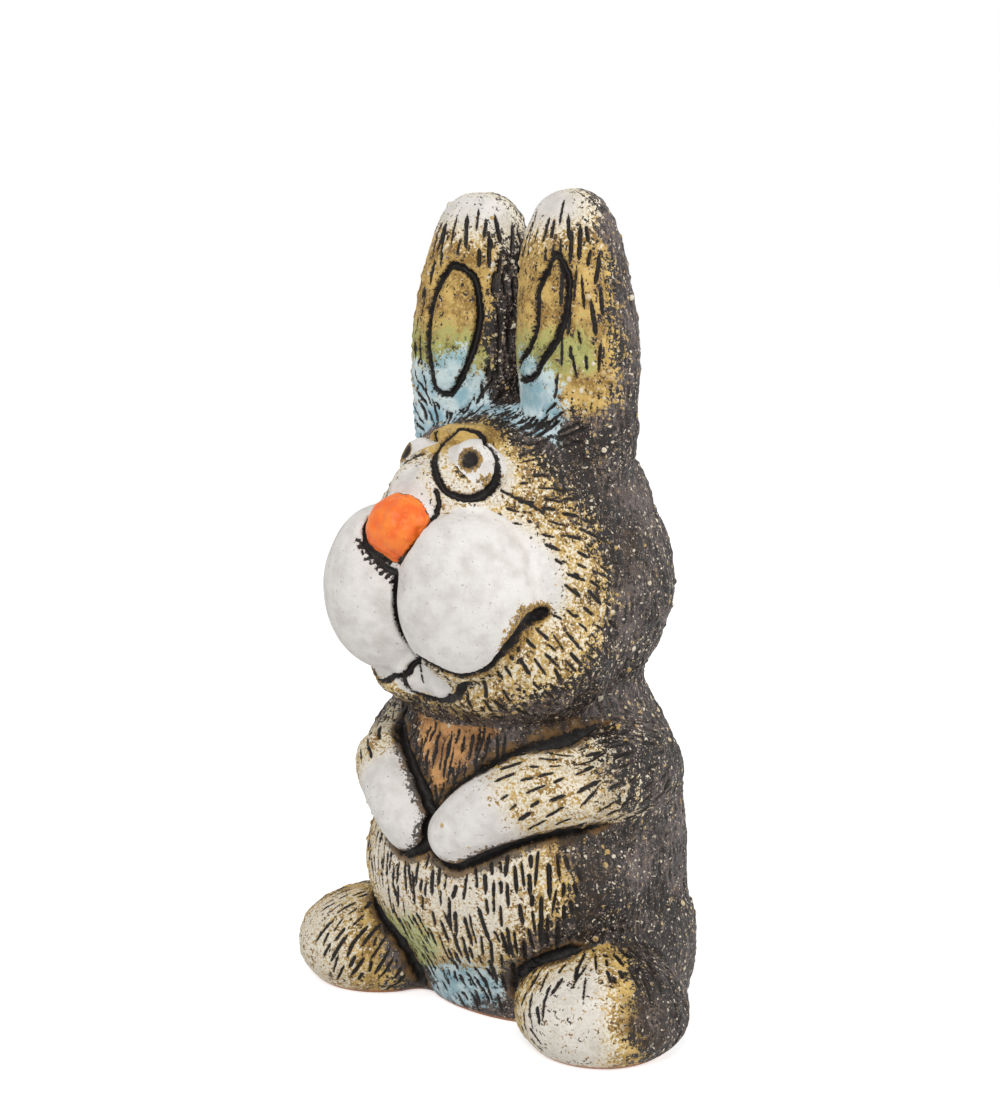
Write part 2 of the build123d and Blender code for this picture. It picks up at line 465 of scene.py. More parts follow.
def painted(outline, softness, pixels=view_pixels):
    """1 inside an outline of the photograph and 0 outside, both sides alike."""
    corners = np.array(outline, float)
    following = np.roll(corners, -1, axis=0)
    x, y = pixels[:, 0], pixels[:, 1]
    distance = np.full(len(x), 1e9)
    inside = np.zeros(len(x), bool)
    for (ax, ay), (bx, by) in zip(corners, following):
        length = (bx - ax) ** 2 + (by - ay) ** 2
        t = np.clip(((x - ax) * (bx - ax) + (y - ay) * (by - ay)) / length, 0, 1)
        distance = np.minimum(distance, np.hypot(x - ax - t * (bx - ax), y - ay - t * (by - ay)))
        crosses = (ay > y) != (by > y)
        slope = (bx - ax) / (by - ay) if by != ay else 0.0
        inside ^= crosses & (x < ax + (y - ay) * slope)
    return rising(-softness, softness, np.where(inside, distance, -distance))


# The teeth are one form with a split, so the gap between them is filled
TEETH = [
    (404, 677), (411, 664), (420, 656), (434, 666), (458, 680), (450, 689), (432, 694), (413, 689),
]
true_pixels = to_pixels(skin.points)
true_facing = (skin.normals * unit(camera_place - skin.points)).sum(axis=1)
mouth_parts = is_part("head_shell", "tooth") * (true_facing > -0.2) * (view_points[:, 0] < 9)
teeth_form = painted(TEETH, 3, true_pixels) * mouth_parts
skin.points = relaxed(skin.points, skin.edges, 0.7 * teeth_form, 60)
skin.refresh()

# Marks: black grooves, painted dark where they are cut
random = np.random.default_rng(RANDOM_SEED)
carved, ink_and_shade, groove_shade = np.zeros((3, len(skin.points)))


def cut(centres, radii, depths, inks=1.0, kept=1.0):
    """Presses beads into the skin, each with its radius, depth and blackness."""
    global carved, ink_and_shade
    carved = np.maximum(carved, skin.press(centres, radii, depths) * kept)
    ink_and_shade = np.maximum(ink_and_shade, skin.press(centres, radii * 1.2, inks) * kept)


def groove(places, width, depth, uneven=0.25, black=1.0, shade_beside=0.0):
    """A slightly uneven groove along close points, with painted shade beside it."""
    global groove_shade
    wobble = 1 + uneven * lumpy(places, 2.5, 3)
    cut(places, width * wobble, depth * wobble, black)
    if shade_beside:
        groove_shade = np.maximum(groove_shade, shade_beside * skin.press(places, width * wobble * 3.4, 1.0))


# Grooves where clay pieces are luted together: half width, depth, how black, and where they fade out
JOINTS = [
    ("nose", "muzzle_pad", 0.6, 0.6, 1.0, None),
    ("arm", "torso_shell", 0.95, 1.3, 1.0, (580.0, 622.0)),
    ("foot", "torso_shell", 1.0, 1.1, 1.0, (566.0, 600.0)),
    ("foot", "haunch", 0.6, 0.4, 0.5, None),
    ("tail", "torso_shell", 0.7, 0.7, 0.4, None),
]
for first, second, width, depth, black, fade in JOINTS:
    for one, two in node_pairs(first, second):
        line = joint_line(one, two)
        if fade:
            fading = falling(*fade, to_pixels(to_left(line))[:, 0])
            line, fading = line[fading > 0.15], fading[fading > 0.15]
            groove(line, width * fading, depth * fading, black=black * fading**0.5, shade_beside=0.9)
        else:
            groove(line, width, depth, black=black)
groove(joint_line("left_muzzle_pad", "right_muzzle_pad"), 0.8, 1.2)
groove(joint_line("left_arm", "right_arm"), 1.1, 1.6, shade_beside=0.8)

# Grooves that follow the photograph, as points in its pixels
MOUTH = [(419, 657), (428, 663), (440, 669), (459, 676), (476, 675), (490, 668), (502, 656)]
MOUTH_CORNER = [(498, 660), (508, 650), (517, 637), (526, 624), (535, 616), (545, 612)]
FAR_MOUTH = [(419, 657), (413, 665), (404, 676), (388, 673), (370, 663), (356, 649)]
TOOTH_SPLIT = [(421, 661), (423, 670), (425, 681)]
NOSE_SIDE = [(437, 492), (439, 503), (435, 518), (424, 539), (410, 553), (401, 562)]
CHIN = [(403, 681), (413, 692), (433, 698), (454, 694), (468, 682)]
LID = [(502, 492), (523, 501), (544, 513)]
BROW_CREASE = [(509, 438), (532, 443), (556, 436), (580, 445)]
SOOT_LINE = [(368, 546), (376, 558), (387, 568), (399, 573)]
BRISTLES = [
    [(367, 546), (361, 543)], [(370, 551), (363, 549)], [(373, 555), (365, 554)], [(376, 559), (367, 560)],
    [(380, 563), (371, 564)], [(384, 566), (376, 569)], [(388, 569), (380, 574)], [(393, 572), (386, 578)],
    [(397, 576), (391, 583)],
]
FAR_LEAF = [
    (457, 266), (473, 277), (479, 300), (480, 321), (476, 341), (468, 363), (460, 380),
    (450, 394), (440, 390), (433, 377), (432, 348), (431, 327), (435, 304), (441, 288), (448, 274),
]
NEAR_LEAF = [
    (556, 255), (565, 267), (569, 283), (568, 303), (563, 323), (554, 342), (543, 361),
    (532, 377), (521, 379), (519, 367), (528, 348), (535, 328), (537, 308), (541, 289), (546, 270),
]


def traced(pixels, closed=False):
    """The path on the skin under points of the photograph."""
    return settled(curve_through(seen_on_skin(pixels), closed))


groove(traced(MOUTH), 1.0, 1.3)
mouth_corner = traced(MOUTH_CORNER)
corner_share = np.linspace(0, 1, len(mouth_corner))
corner_width = 0.8 + 0.75 * np.sin(np.pi * corner_share**0.8)
groove(mouth_corner, corner_width, 1.25 * corner_width**0.5)
groove(traced(TOOTH_SPLIT), 0.36, 0.4)
far_mouth = traced(FAR_MOUTH[:4])
hidden_end = skin.walk(far_mouth[-1], lambda place: np.array([-0.8, 0.45, 0.4]), 8.0)
groove(join([far_mouth, hidden_end]), 0.7, 1.0)
groove(mirrored(traced(NOSE_SIDE)), 0.6, 0.6)
groove(traced(CHIN), 0.85, 0.8)
groove(mirrored(traced(LID)), 0.4, 0.3, black=0.8)
groove(traced(BROW_CREASE), 0.45, 0.35, black=0.7)
groove(traced(SOOT_LINE), 0.55, 0.4, uneven=0.5, shade_beside=0.5)
for pixels in BRISTLES:
    groove(traced(pixels), 0.3, 0.15, uneven=0.5)
for pixels in (FAR_LEAF, NEAR_LEAF):
    groove(traced(pixels, closed=True), 0.75, 1.0, shade_beside=0.45)

# Eyes: a groove round the ball, in a collar of clay that hoods it above
EYE_PIXEL = (467.0, 468.0)
EYE_RING_RADIUS = 31.5
PUPIL_PIXEL = (470, 459)
ring_turns = np.linspace(0, 2 * math.pi, 40, endpoint=False)
ring_pixels = np.stack([np.cos(ring_turns), np.sin(ring_turns)], -1) * EYE_RING_RADIUS + EYE_PIXEL
ring = traced(ring_pixels, closed=True)
ring[:, 0] = np.maximum(ring[:, 0], 0.0)
ring = settled(ring)
ring_offset = to_pixels(ring) - EYE_PIXEL
ring_turn = np.arctan2(ring_offset[:, 1], ring_offset[:, 0])
ring_width = np.tile(0.74 + 0.2 * np.cos(ring_turn - 0.9), 2)
hood = np.tile(rising(0.1, 0.9, -np.sin(ring_turn)), 2)
far_bridge = (ring[:, 0] < 4) & (hood[: len(ring)] > 0.2)
ring_cut = join([np.ones(len(ring), bool), ~far_bridge])
ring = mirrored(ring)
groove(ring[ring_cut], ring_width[ring_cut], ring_width[ring_cut] * 1.1, shade_beside=0.4)
eye_member = member[:, columns_of("eye")].sum(axis=1)
beside_nose = np.tile(rising(0.2, 0.8, -np.cos(ring_turn)), 2)
collar_height = (0.55 + 0.85 * hood) * (1 - 0.8 * beside_nose)
collar = skin.press(ring, 2.8, collar_height)
raised = collar * falling(0.05, 0.4, eye_member)
eye_edge = skin.press(ring, 4.2, 1.0)
near_pupil = seen_on_skin([PUPIL_PIXEL])
far_pupil = near_pupil * MIRROR + [-0.9, 1.1, 0.0]
pupils = settled(join([near_pupil, far_pupil]))
PUPIL_RADIUS = 1.75
cut(pupils, PUPIL_RADIUS, 0.8)

# Paint, laid on by regions of the photograph, both sides alike
FACE_WHITE = [
    (380, 465), (418, 440), (432, 446), (434, 480), (446, 505), (480, 512), (520, 514), (548, 534),
    (570, 562), (574, 600), (552, 640), (520, 672), (460, 700), (400, 690), (300, 640), (300, 500),
]
FACE_OCHRE = [
    (400, 436), (440, 420), (480, 414), (510, 430), (536, 458), (576, 498), (604, 545), (612, 600),
    (602, 650), (566, 690), (500, 712), (430, 712), (380, 695), (300, 640), (300, 500),
]
CHEST_TAN = [
    (380, 690), (430, 700), (520, 705), (520, 720), (490, 742), (465, 765), (438, 800), (400, 770),
    (370, 730),
]
BELLY_CREAM = [
    (340, 800), (430, 850), (480, 840), (520, 828), (560, 840), (575, 870), (570, 905), (550, 930),
    (525, 945), (505, 975), (490, 1000), (420, 985), (350, 920),
]
BELLY_WHITE = [(400, 860), (480, 845), (530, 850), (535, 900), (500, 950), (450, 940), (410, 905)]
BELLY_PEACH = [(500, 840), (570, 850), (575, 890), (550, 930), (520, 960), (495, 900)]
BELLY_LIME = [(378, 905), (415, 915), (440, 940), (440, 972), (410, 975), (380, 945)]
BELLY_SKY = [(420, 968), (450, 958), (490, 965), (506, 985), (498, 1008), (440, 1006)]
EAR_ROOT_ROUGH = [(560, 362), (600, 350), (618, 380), (602, 412), (566, 414), (552, 392)]
# Olive round the mouth corner: painted shade in its recess
CORNER_OLIVE = [(497, 650), (520, 606), (548, 600), (556, 614), (540, 626), (508, 664)]
FOREHEAD_SKY = [
    (400, 340), (440, 400), (470, 372), (520, 345), (548, 362), (564, 392), (568, 420), (545, 440),
    (505, 425), (480, 410), (440, 414), (400, 436),
]
# Outline, softness and strength of each dark place, added to the black of the cuts: painted shade under the
# chin, beside the near arm and between the arm and the haunch, and dark patches on the foot, the cheek and
# the side of the head
DARK_PATCHES_AND_SHADE = [
    ([(618, 995), (650, 985), (676, 1005), (670, 1045), (642, 1058), (620, 1035)], 14, 0.42),
    ([(612, 520), (640, 515), (646, 560), (636, 600), (614, 595)], 16, 0.34),
    ([(560, 440), (600, 455), (620, 500), (600, 500), (560, 462)], 16, 0.30),
    ([(410, 695), (520, 700), (600, 715), (540, 735), (480, 760), (440, 730)], 12, 0.30),
    ([(520, 830), (600, 840), (620, 870), (590, 950), (570, 920), (560, 860)], 14, 0.32),
    ([(575, 735), (625, 750), (630, 820), (590, 825), (585, 780)], 16, 0.30),
]

PARTS = ("head_shell", "muzzle_pad", "torso_shell", "arm", "foot", "ear", "eye", "tooth")
head, muzzle, torso, arm, foot, ear, eye, tooth = map(is_part, PARTS)
face = head | muzzle
left_normals = skin.normals * np.where(skin.points[:, :1] < 0, MIRROR, 1.0)
seen = rising(0.0, 0.35, (left_normals * unit(camera_place - view_points)).sum(axis=1))
near_half = skin.points[:, 0] > 0
ear_across, ear_up, off_leaf = in_ear(skin.points)
ear_front = -left_normals @ ear_axes[:, 1]
in_leaf = ear * (off_leaf < 0.9) * (ear_front > 0.3)

PAW_TIP = (4.5, -18.3, 29.6)
FOOT_CENTRE = (22.2, -7.9, 5.8)
FOOT_SPLAY = math.radians(48.0)
splay_cos, splay_sin = math.cos(FOOT_SPLAY), math.sin(FOOT_SPLAY)
paw_reach = norm(view_points - PAW_TIP, axis=1)
foot_reach = (view_points - FOOT_CENTRE) @ [splay_sin, -splay_cos, 0.0]
foot_side = (view_points - FOOT_CENTRE) @ [splay_cos, splay_sin, 0.0]


def most(*coats):
    """The strongest of several coats at each point."""
    return functools.reduce(np.maximum, coats)


def slip(outline, softness, pieces, level=1.0):
    """A coat on those pieces, inside an outline and where the camera sees them."""
    return level * painted(outline, softness) * pieces * seen


# Below the mouth the chin shows ochre clay again, not white
near_level = np.interp(true_pixels[:, 0], *zip(*MOUTH[:-1], *MOUTH_CORNER[1:]))
mouth_level = np.where(near_half, near_level, np.interp(true_pixels[:, 0], *zip(*FAR_MOUTH[::-1])))
below_mouth = (head | muzzle & near_half) * rising(-3, 5, true_pixels[:, 1] - mouth_level)
below_mouth = below_mouth * rising(-0.1, 0.2, true_facing)
below_mouth = below_mouth * (view_points[:, 2] < 70) * falling(535, 560, view_pixels[:, 0])

white = most(
    slip(FACE_WHITE, 38, face) * (1 - 0.6 * below_mouth),
    muzzle * rising(0, 60, 590 - view_pixels[:, 0]) * (1 - 0.55 * below_mouth),
    tooth | eye,
    teeth_form,
    slip(FACE_OCHRE, 30, head, 0.44),
    arm * falling(6.0, 20.0, paw_reach),
    0.56 * arm * falling(21.0, 31.0, paw_reach),
    (0.62 + 0.1 * near_half) * foot * (rising(-5, 8, foot_reach) * falling(-3.0, 5.0, foot_side)),
    0.8 * ear * rising(31.0, 42.5, ear_up) * rising(-1.0, 0.7, ear_front),
    0.42 * slip(BELLY_CREAM, 22, torso) + slip(BELLY_WHITE, 30, torso, 0.24),
)
ear_outer = falling(3.2, 7.8, -ear_across)
ochre = most(
    slip(FACE_OCHRE, 30, face, 0.74),
    arm * falling(17.0, 31.0, paw_reach),
    0.74 * ear * rising(-0.9, 0.6, ear_front) * rising(8, 16, ear_up) * ear_outer,
    slip(EAR_ROOT_ROUGH, 16, head | ear, 0.46),
    0.8 * foot * (rising(-9, 4, foot_reach) * falling(-1, 8, foot_side)),
    slip(BELLY_CREAM, 28, torso, 0.85),
    0.1,
)
tan = most(0.8 * slip(CHEST_TAN, 18, torso), slip(BELLY_PEACH, 24, torso, 0.62))
ear_sky = ear * rising(-0.1, 0.5, ear_front) * falling(13.5, 24.5, ear_up)
ear_sky = ear_sky * (1 - rising(2.0, 7.0, ear_across) * near_half) * ear_outer
far_belly = torso & (true_facing > 0)
sky = most(
    ear_sky,
    slip(FOREHEAD_SKY, 16, (head | ear) & (skin.points[:, 2] > 78), 0.72),
    0.75 * painted(BELLY_SKY, 18, true_pixels) * far_belly,
)
lime = ear * rising(0.0, 0.6, ear_front) * rising(14, 20, ear_up)
lime = 0.7 * (lime * falling(21, 30, ear_up)) * ear_outer
lime = most(lime, 0.8 * painted(BELLY_LIME, 22, true_pixels) * far_belly)

# Round the eye: brown slip under the brow and cream below the ring
socket = head * np.clip(eye_edge * 1.7, 0, 1) * (view_points[:, 2] > 74)
above_eye = rising(-2, 16, EYE_PIXEL[1] - 6 - view_pixels[:, 1])
white = most(white * (1 - 0.6 * socket * above_eye), socket * (1 - above_eye) * 0.66)
ochre = most(ochre, socket * 0.9)
tan = most(tan, socket * above_eye * 0.55)
lower_ball = rising(-6, 14, view_pixels[:, 1] - EYE_PIXEL[1])
pupil_reach = norm(skin.points[:, None] - pupils, axis=2).min(axis=1)
# Brown near the ring at the bottom of each eyeball is painted shade, the ring round the pupil is brown
# paint, and the olive at the mouth corner is painted shade
stain_and_shade = most(
    eye * rising(0.15, 0.85, eye_edge) * lower_ball * 0.8,
    eye * falling(1.2, 2.4, pupil_reach),
    slip(CORNER_OLIVE, 7, face, 0.85),
)
# The dark places bring painted shade, with dark patches, into the black of the cuts
ink_and_shade = most(ink_and_shade, *[slip(outline, softness, 1.0, level) for outline, softness, level in DARK_PATCHES_AND_SHADE])

# Strokes of a tool that stand for fur, and where they radiate from
OVERHEAD = (0.0, -10.0, 400.0)
BELOW_EARS = (0.0, 0.0, -400.0)
CHEEK_SOURCE = (5.0, -30.0, 82.0)
FAR_BROW = (-7.0, -25.0, 77.0)
FOOT_SOURCE = (15.0, 0.0, 26.0)
calm = most(rising(0.3, 0.6, eye_edge), eye | in_leaf, teeth_form > 0, (muzzle | tooth) * (1 - below_mouth))
open_face = falling(0.0, 0.2, carved) * (1 - calm)


def strokes(region, source, spacing, length_range, width, depth, black=1.0, both=True):
    """Tapered cuts that run away from a source, scattered over a region."""
    blocked = np.zeros(len(skin.points), bool)
    candidates = np.flatnonzero(region * open_face > random.random(len(region)) * 0.6 + 0.3)
    random.shuffle(candidates)
    centres, radii, depths, inks = [], [], [], []
    for index in candidates.tolist():
        if blocked[index]:
            continue
        start = skin.points[index]
        side = -1.0 if both and start[0] < 0 else 1.0
        origin = np.multiply(source, [side, 1.0, 1.0])
        length = random.uniform(*length_range)
        bend = random.normal(0, 0.12)

        def heading(place):
            away = unit(place - origin)
            return away + bend * np.cross(skin.on_skin(place)[1], away)

        path = skin.walk(start, heading, length)
        forward = unit(path[-1] - path[0])
        for _, near, _ in skin.tree.find_range(start.tolist(), length + spacing):
            offset = skin.points[near] - start
            along = offset @ forward
            if -length * 0.9 < along < length * 1.15:
                if norm(offset - forward * along) < spacing:
                    blocked[near] = True
        share = np.linspace(0, 1, len(path))
        taper = np.clip(np.minimum(share * 5 + 0.45, (1 - share) * 3 + 0.35), 0, 1)
        size = width * random.uniform(0.75, 1.3)
        centres.append(path)
        radii.append(size * taper)
        depths.append(depth * taper * random.uniform(0.7, 1.2))
        inks.append(np.full(len(path), black * random.uniform(0.85, 1.0)))
    if centres:
        marks = [join(part) for part in (centres, radii, depths, inks)]
        cut(*marks, kept=1 - calm)


strokes(slip(BELLY_CREAM, 14, torso), OVERHEAD, 0.95, (1.6, 5.5), 0.44, 0.45)
strokes(slip(CHEST_TAN, 10, torso), OVERHEAD, 0.8, (2.0, 6.0), 0.42, 0.45)
ear_comb = ear * rising(0.0, 0.4, ear_front) * rising(16, 20, ear_up)
ear_comb = ear_comb * (1 - 0.7 * rising(36, 40, ear_up))
strokes(ear_comb, BELOW_EARS, 1.2, (1.2, 5.5), 0.4, 0.4)

# Combed texture on the dark clay, and fur round the face
bare = 1 - np.clip(white + ochre + tan + sky + lime, 0, 1)
strokes(bare * head, OVERHEAD, 1.0, (2.0, 6.0), 0.4, 0.26, 0.35)
strokes(bare * torso * (skin.points[:, 2] > 4), OVERHEAD, 1.15, (2.0, 6.5), 0.4, 0.24, 0.35)
strokes(bare * ear, OVERHEAD, 1.0, (2.0, 7.0), 0.38, 0.24, 0.35)
cheek_fur = ochre * face * (1 - rising(0.5, 0.9, white) * (1 - below_mouth))
strokes(cheek_fur, CHEEK_SOURCE, 1.25, (0.7, 3.2), 0.36, 0.3, 0.95)
forehead = slip(FOREHEAD_SKY, 10, head) + ear_sky * (ear_up < 13)
strokes(forehead, FAR_BROW, 0.72, (1.8, 5.5), 0.42, 0.45, 0.95, both=False)
strokes(ear_sky * (ear_up > 13), BELOW_EARS, 1.3, (2.0, 5.0), 0.4, 0.4)
arm_middle = arm * rising(9, 14, paw_reach) * falling(26, 34, paw_reach) * seen
strokes(arm_middle, PAW_TIP, 1.55, (1.2, 4.2), 0.4, 0.35)
foot_top = foot * rising(-3, 2, skin.points[:, 2] - 4) * (1 - 0.85 * rising(5, 9, foot_reach))
strokes(foot_top, FOOT_SOURCE, 1.15, (1.2, 5.5), 0.4, 0.4)

# Crumbs of clay and salt that stick out of the dark skin
CRUMB_COUNT = 1800
CRUMB_GROWTH = (1.0, 1.0, 1.0, 1.0, 1.8)
rough = np.clip(1.15 - white - sky - lime, 0, 1) * open_face
rough = rough * rising(-0.5, 0.6, lumpy(skin.points, 5.0, 31))
rough = rough + slip(EAR_ROOT_ROUGH, 8, head | ear, 5)
crumb_at = np.flatnonzero(random.random(len(rough)) < rough * CRUMB_COUNT / rough.sum())
crumb_size = random.uniform(0.22, 0.42, len(crumb_at)) * random.choice(CRUMB_GROWTH, len(crumb_at))
crumb = skin.press(skin.points[crumb_at], crumb_size, 1.0)
crumb_rise = skin.press(skin.points[crumb_at], crumb_size * 1.1, crumb_size * 0.45)

lumps = 0.22 * lumpy(skin.points, 8.0, 21) + 0.14 * lumpy(skin.points, 3.0, 22)
grit = 0.20 * lumpy(skin.points, 1.3, 23) + 0.13 * lumpy(skin.points, 0.6, 24)
slipped = np.clip(white, 0, 1)
relief = lumps * (1 - 0.45 * slipped) + grit * (1 - 0.86 * slipped) * (1 - 0.8 * calm)
relief = relief + raised + crumb_rise - carved
above_base = rising(0.2, 2.0, skin.points[:, 2])

# Small corrections of the form: pixel, pieces, reach and rise in millimetres
SWELLINGS = [
    ((363, 534), ("muzzle_pad",), 8.0, 1.4),
    ((378, 709), ("arm", "torso_shell"), 9.0, -2.6),
    ((390, 672), ("head_shell",), 8.0, 1.9),
    ((415, 448), ("right_eye",), 6.0, -1.0),
    ((372, 512), ("muzzle_pad",), 4.5, 0.9),
    ((418, 452), ("head_shell",), 4.5, 1.0),
    ((408, 478), ("head_shell",), 5.0, 1.2),
]
for pixel, parts, reach, rise in SWELLINGS:
    away = norm(view_points - to_left(seen_on_skin([pixel])), axis=1)
    share = member[:, columns_of(*parts)].sum(axis=1)
    relief = relief + rise * falling(0, 1, away / reach) * share
skin.points = skin.points + skin.normals * (relief * above_base)[:, None]

# Pieces: the skin is cut along the joints, and each piece is closed behind
all_points[fine_ids] = skin.points
all_points[:, 2] = np.maximum(all_points[:, 2], 0)
all_label = all_member.argmax(axis=1)
all_quads = join([fine_quads, coarse_quads])
quad_label = np.sort(all_label[all_quads], axis=1)[:, 1]
mixed_label = [int(np.bincount(all_label[face]).argmax()) for face in mixed_faces]
all_normals = vertex_normals(all_points, all_quads)
is_hollow = np.zeros(len(all_points), bool)
is_hollow[: len(hollow)] = hollow

COATS = {"ink_and_shade": ink_and_shade, "white_paint": white, "ochre_paint": ochre, "tan_paint": tan}
COATS |= {"sky_paint": sky, "lime_paint": lime, "crumb": crumb, "stain_and_shade": stain_and_shade, "groove_shade": groove_shade}
attributes = {}
for key, coat in COATS.items():
    attributes[key] = np.zeros(len(all_points))
    attributes[key][fine_ids] = coat
attributes["raw_clay"] = is_hollow * 1.0

# The neck's outer ring has more points than the eyes and lies this near to the middle plane
NECK_RING_POINTS = 60
NECK_OFF_MIDDLE = 3.0
SKIRT_DEPTH = 1.6


def rings_of(edges):
    """Closed rings of vertices that the edges form."""
    neighbours = {}
    for a, b in edges.tolist():
        neighbours.setdefault(a, []).append(b)
        neighbours.setdefault(b, []).append(a)
    rings = []
    for start in neighbours:
        while neighbours[start]:
            ring = []
            here = start
            while neighbours[here]:
                ring.append(here)
                step = neighbours[here].pop()
                neighbours[step].remove(here)
                here = step
                if here == start:
                    break
            if len(ring) > 2:
                rings.append(ring)
    return rings


def closing(rings, places, normals, inner, bridged):
    """Faces and points that close the rings: a band round the neck, else a skirt and a fan."""
    faces, extra, copied = [], [], []
    rings = sorted(rings, key=len)
    if bridged:
        band_inner = max((ring for ring in rings if inner[ring].all()), key=len)
        rings.remove(band_inner)
        level = places[band_inner][:, 2].mean()

        def off_neck(ring):
            """How far off the inner ring's level a ring round the neck lies."""
            across, _, up = places[ring].mean(axis=0)
            central = abs(across) < NECK_OFF_MIDDLE and len(ring) > NECK_RING_POINTS
            return abs(up - level) if central else np.inf

        band_outer = min(rings, key=off_neck)
        rings.remove(band_outer)
        faces += band(band_inner, band_outer, places)
    for ring in rings:
        skirt = places[ring] - normals[ring] * SKIRT_DEPTH
        first = len(places) + len(extra)
        apex = first + len(ring)
        extra += list(skirt) + [skirt.mean(axis=0)]
        copied += ring + [ring[0]]
        for k in range(len(ring)):
            before = (k - 1) % len(ring)
            faces.append([ring[k], ring[before], first + before, first + k])
            faces.append([first + k, first + before, apex])
    return faces, extra, copied


def band(inner, outer, places):
    """Triangles between two rings round the same upright axis."""

    def by_angle(ring):
        """The ring, closed, and its turning angles, from the least on."""
        across, deep, _ = (places[ring] - places[ring].mean(axis=0)).T
        angle = np.arctan2(deep, across)
        if np.unwrap(angle)[-1] < angle[0]:
            ring, angle = ring[::-1], angle[::-1]
        first = int(np.argmin(angle))
        return ring[first:] + ring[:first + 1], [*np.unwrap(np.roll(angle, -first)), np.inf]

    inner, inner_angle = by_angle(inner)
    outer, outer_angle = by_angle(outer)
    faces = []
    i = o = 0
    while i + o < len(inner) + len(outer) - 2:
        if inner_angle[i] <= outer_angle[o]:
            faces.append([inner[i], inner[i + 1], outer[o]])
            i += 1
        else:
            faces.append([outer[o + 1], outer[o], inner[i]])
            o += 1
    return faces


def piece_mesh(name, quads, polygons):
    """One closed piece of the skin, with its paint and the figure's normals."""
    used = np.unique(join([quads.reshape(-1), *polygons]))
    local = np.full(len(all_points), -1)
    local[used] = np.arange(len(used))
    faces = local[quads].tolist() + [local[face].tolist() for face in polygons]
    sides = local[join([sides_of(quads), *[sides_of(face) for face in polygons]])]
    _, first, counts = np.unique(side_codes(sides), return_index=True, return_counts=True)
    rings = rings_of(sides[first[counts == 1]])
    places = all_points[used]
    bridged = name in ("torso_shell", "head_shell")
    more_faces, extra, copied = closing(rings, places, all_normals[used], is_hollow[used], bridged)
    sources = join([used, used[copied]]) if extra else used
    if extra:
        places = join([places, extra])
    mesh = bpy.data.meshes.new(name + "_finish")
    mesh.from_pydata((places * MM).tolist(), [], faces + more_faces)
    mesh.polygons.foreach_set("use_smooth", np.ones(len(mesh.polygons), bool))
    for key, value in attributes.items():
        layer = mesh.attributes.new(key, "FLOAT", "POINT")
        layer.data.foreach_set("value", value[sources].astype(np.float32))
    mesh.normals_split_custom_set_from_vertices(all_normals[sources].tolist())
    return mesh


def rgb(red, green, blue):
    """A colour as seen on a screen, in Blender's linear values."""
    shares = np.array([red, green, blue]) / 255
    linear = np.where(shares <= 0.04045, shares / 12.92, ((shares + 0.055) / 1.055) ** 2.4)
    return (*linear.tolist(), 1.0)


class Nodes:
    """Short calls that add nodes to a material or a world."""

    def __init__(self, owner):
        owner.use_nodes = True
        self.owner = owner
        self.tree = owner.node_tree

    def node(self, kind, inputs=None, **settings):
        made = self.tree.nodes.new(kind)
        for key, value in settings.items():
            setattr(made, key, value)
        self.fill(made, inputs or {})
        return made

    def fill(self, node, inputs):
        """Sets or links the inputs of a node."""
        for key, value in inputs.items():
            if isinstance(value, bpy.types.NodeSocket):
                self.tree.links.new(value, node.inputs[key])
            else:
                node.inputs[key].default_value = value

    def math(self, operation, first, second):
        return self.node("ShaderNodeMath", {0: first, 1: second}, operation=operation).outputs[0]

    def seen_directly(self):
        """1 where the camera sees a place itself, in a reflection or through something clear."""
        path = self.node("ShaderNodeLightPath").outputs
        result = path["Is Camera Ray"]
        for kind in ("Is Glossy Ray", "Is Transmission Ray"):
            result = self.math("MAXIMUM", result, path[kind])
        return result


class Paint(Nodes):
    """A material of the figure, with its noises and coats."""

    def __init__(self, name):
        super().__init__(bpy.data.materials.new(name))
        self.place = self.node("ShaderNodeTexCoord").outputs["Object"]

    def attribute(self, name):
        return self.node("ShaderNodeAttribute", attribute_name=name).outputs["Fac"]

    def noise(self, size, detail=2.0, roughness=0.5, stretch=1.0):
        """Noise with lumps of that size in millimetres, drawn out upwards by 1 / stretch."""
        scale = {"Vector": self.place, "Scale": (1.0, 1.0, stretch)}
        place = self.node("ShaderNodeMapping", scale).outputs["Vector"]
        inputs = {"Vector": place, "Scale": 1 / (size * MM), "Detail": detail, "Roughness": roughness}
        return self.node("ShaderNodeTexNoise", inputs).outputs["Fac"]

    def total(self, start, *terms):
        """A value, or the coat of that name, plus each noise, centred on zero, times its share."""
        if isinstance(start, str):
            start = self.attribute(start)
        for noise, share in terms:
            centred = self.math("SUBTRACT", noise, 0.5)
            start = self.math("ADD", start, self.math("MULTIPLY", centred, share))
        return start

    def step(self, value, low, high, top=1.0, bottom=0.0):
        inputs = {"Value": value, "From Min": low, "From Max": high, "To Min": bottom, "To Max": top}
        return self.node("ShaderNodeMapRange", inputs, interpolation_type="SMOOTHSTEP").outputs["Result"]

    def mix(self, share, first, second):
        """A mix of two colours, each a socket or three screen values."""
        inputs = {"Factor": share}
        for key, colour in (("A", first), ("B", second)):
            inputs[key] = rgb(*colour) if isinstance(colour, tuple) else colour
        return self.node("ShaderNodeMix", inputs, data_type="RGBA").outputs["Result"]

    def coats(self, colour, *rows):
        """The colour under coats, each a value, its range, a colour and how much shows at most."""
        for value, low, high, over, *top in rows:
            colour = self.mix(self.step(value, low, high, *top), colour, over)
        return colour

    def finished(self, colour, roughness, height, depth, strength, specular=0.5):
        """The material with its colour, roughness and bump set on its shader."""
        inputs = {"Height": height, "Distance": depth * MM, "Strength": strength}
        bump = self.node("ShaderNodeBump", inputs).outputs["Normal"]
        inputs = {"Base Color": colour, "Roughness": roughness, "Normal": bump}
        self.fill(self.tree.nodes["Principled BSDF"], inputs | {"Specular IOR Level": specular})
        return self.owner


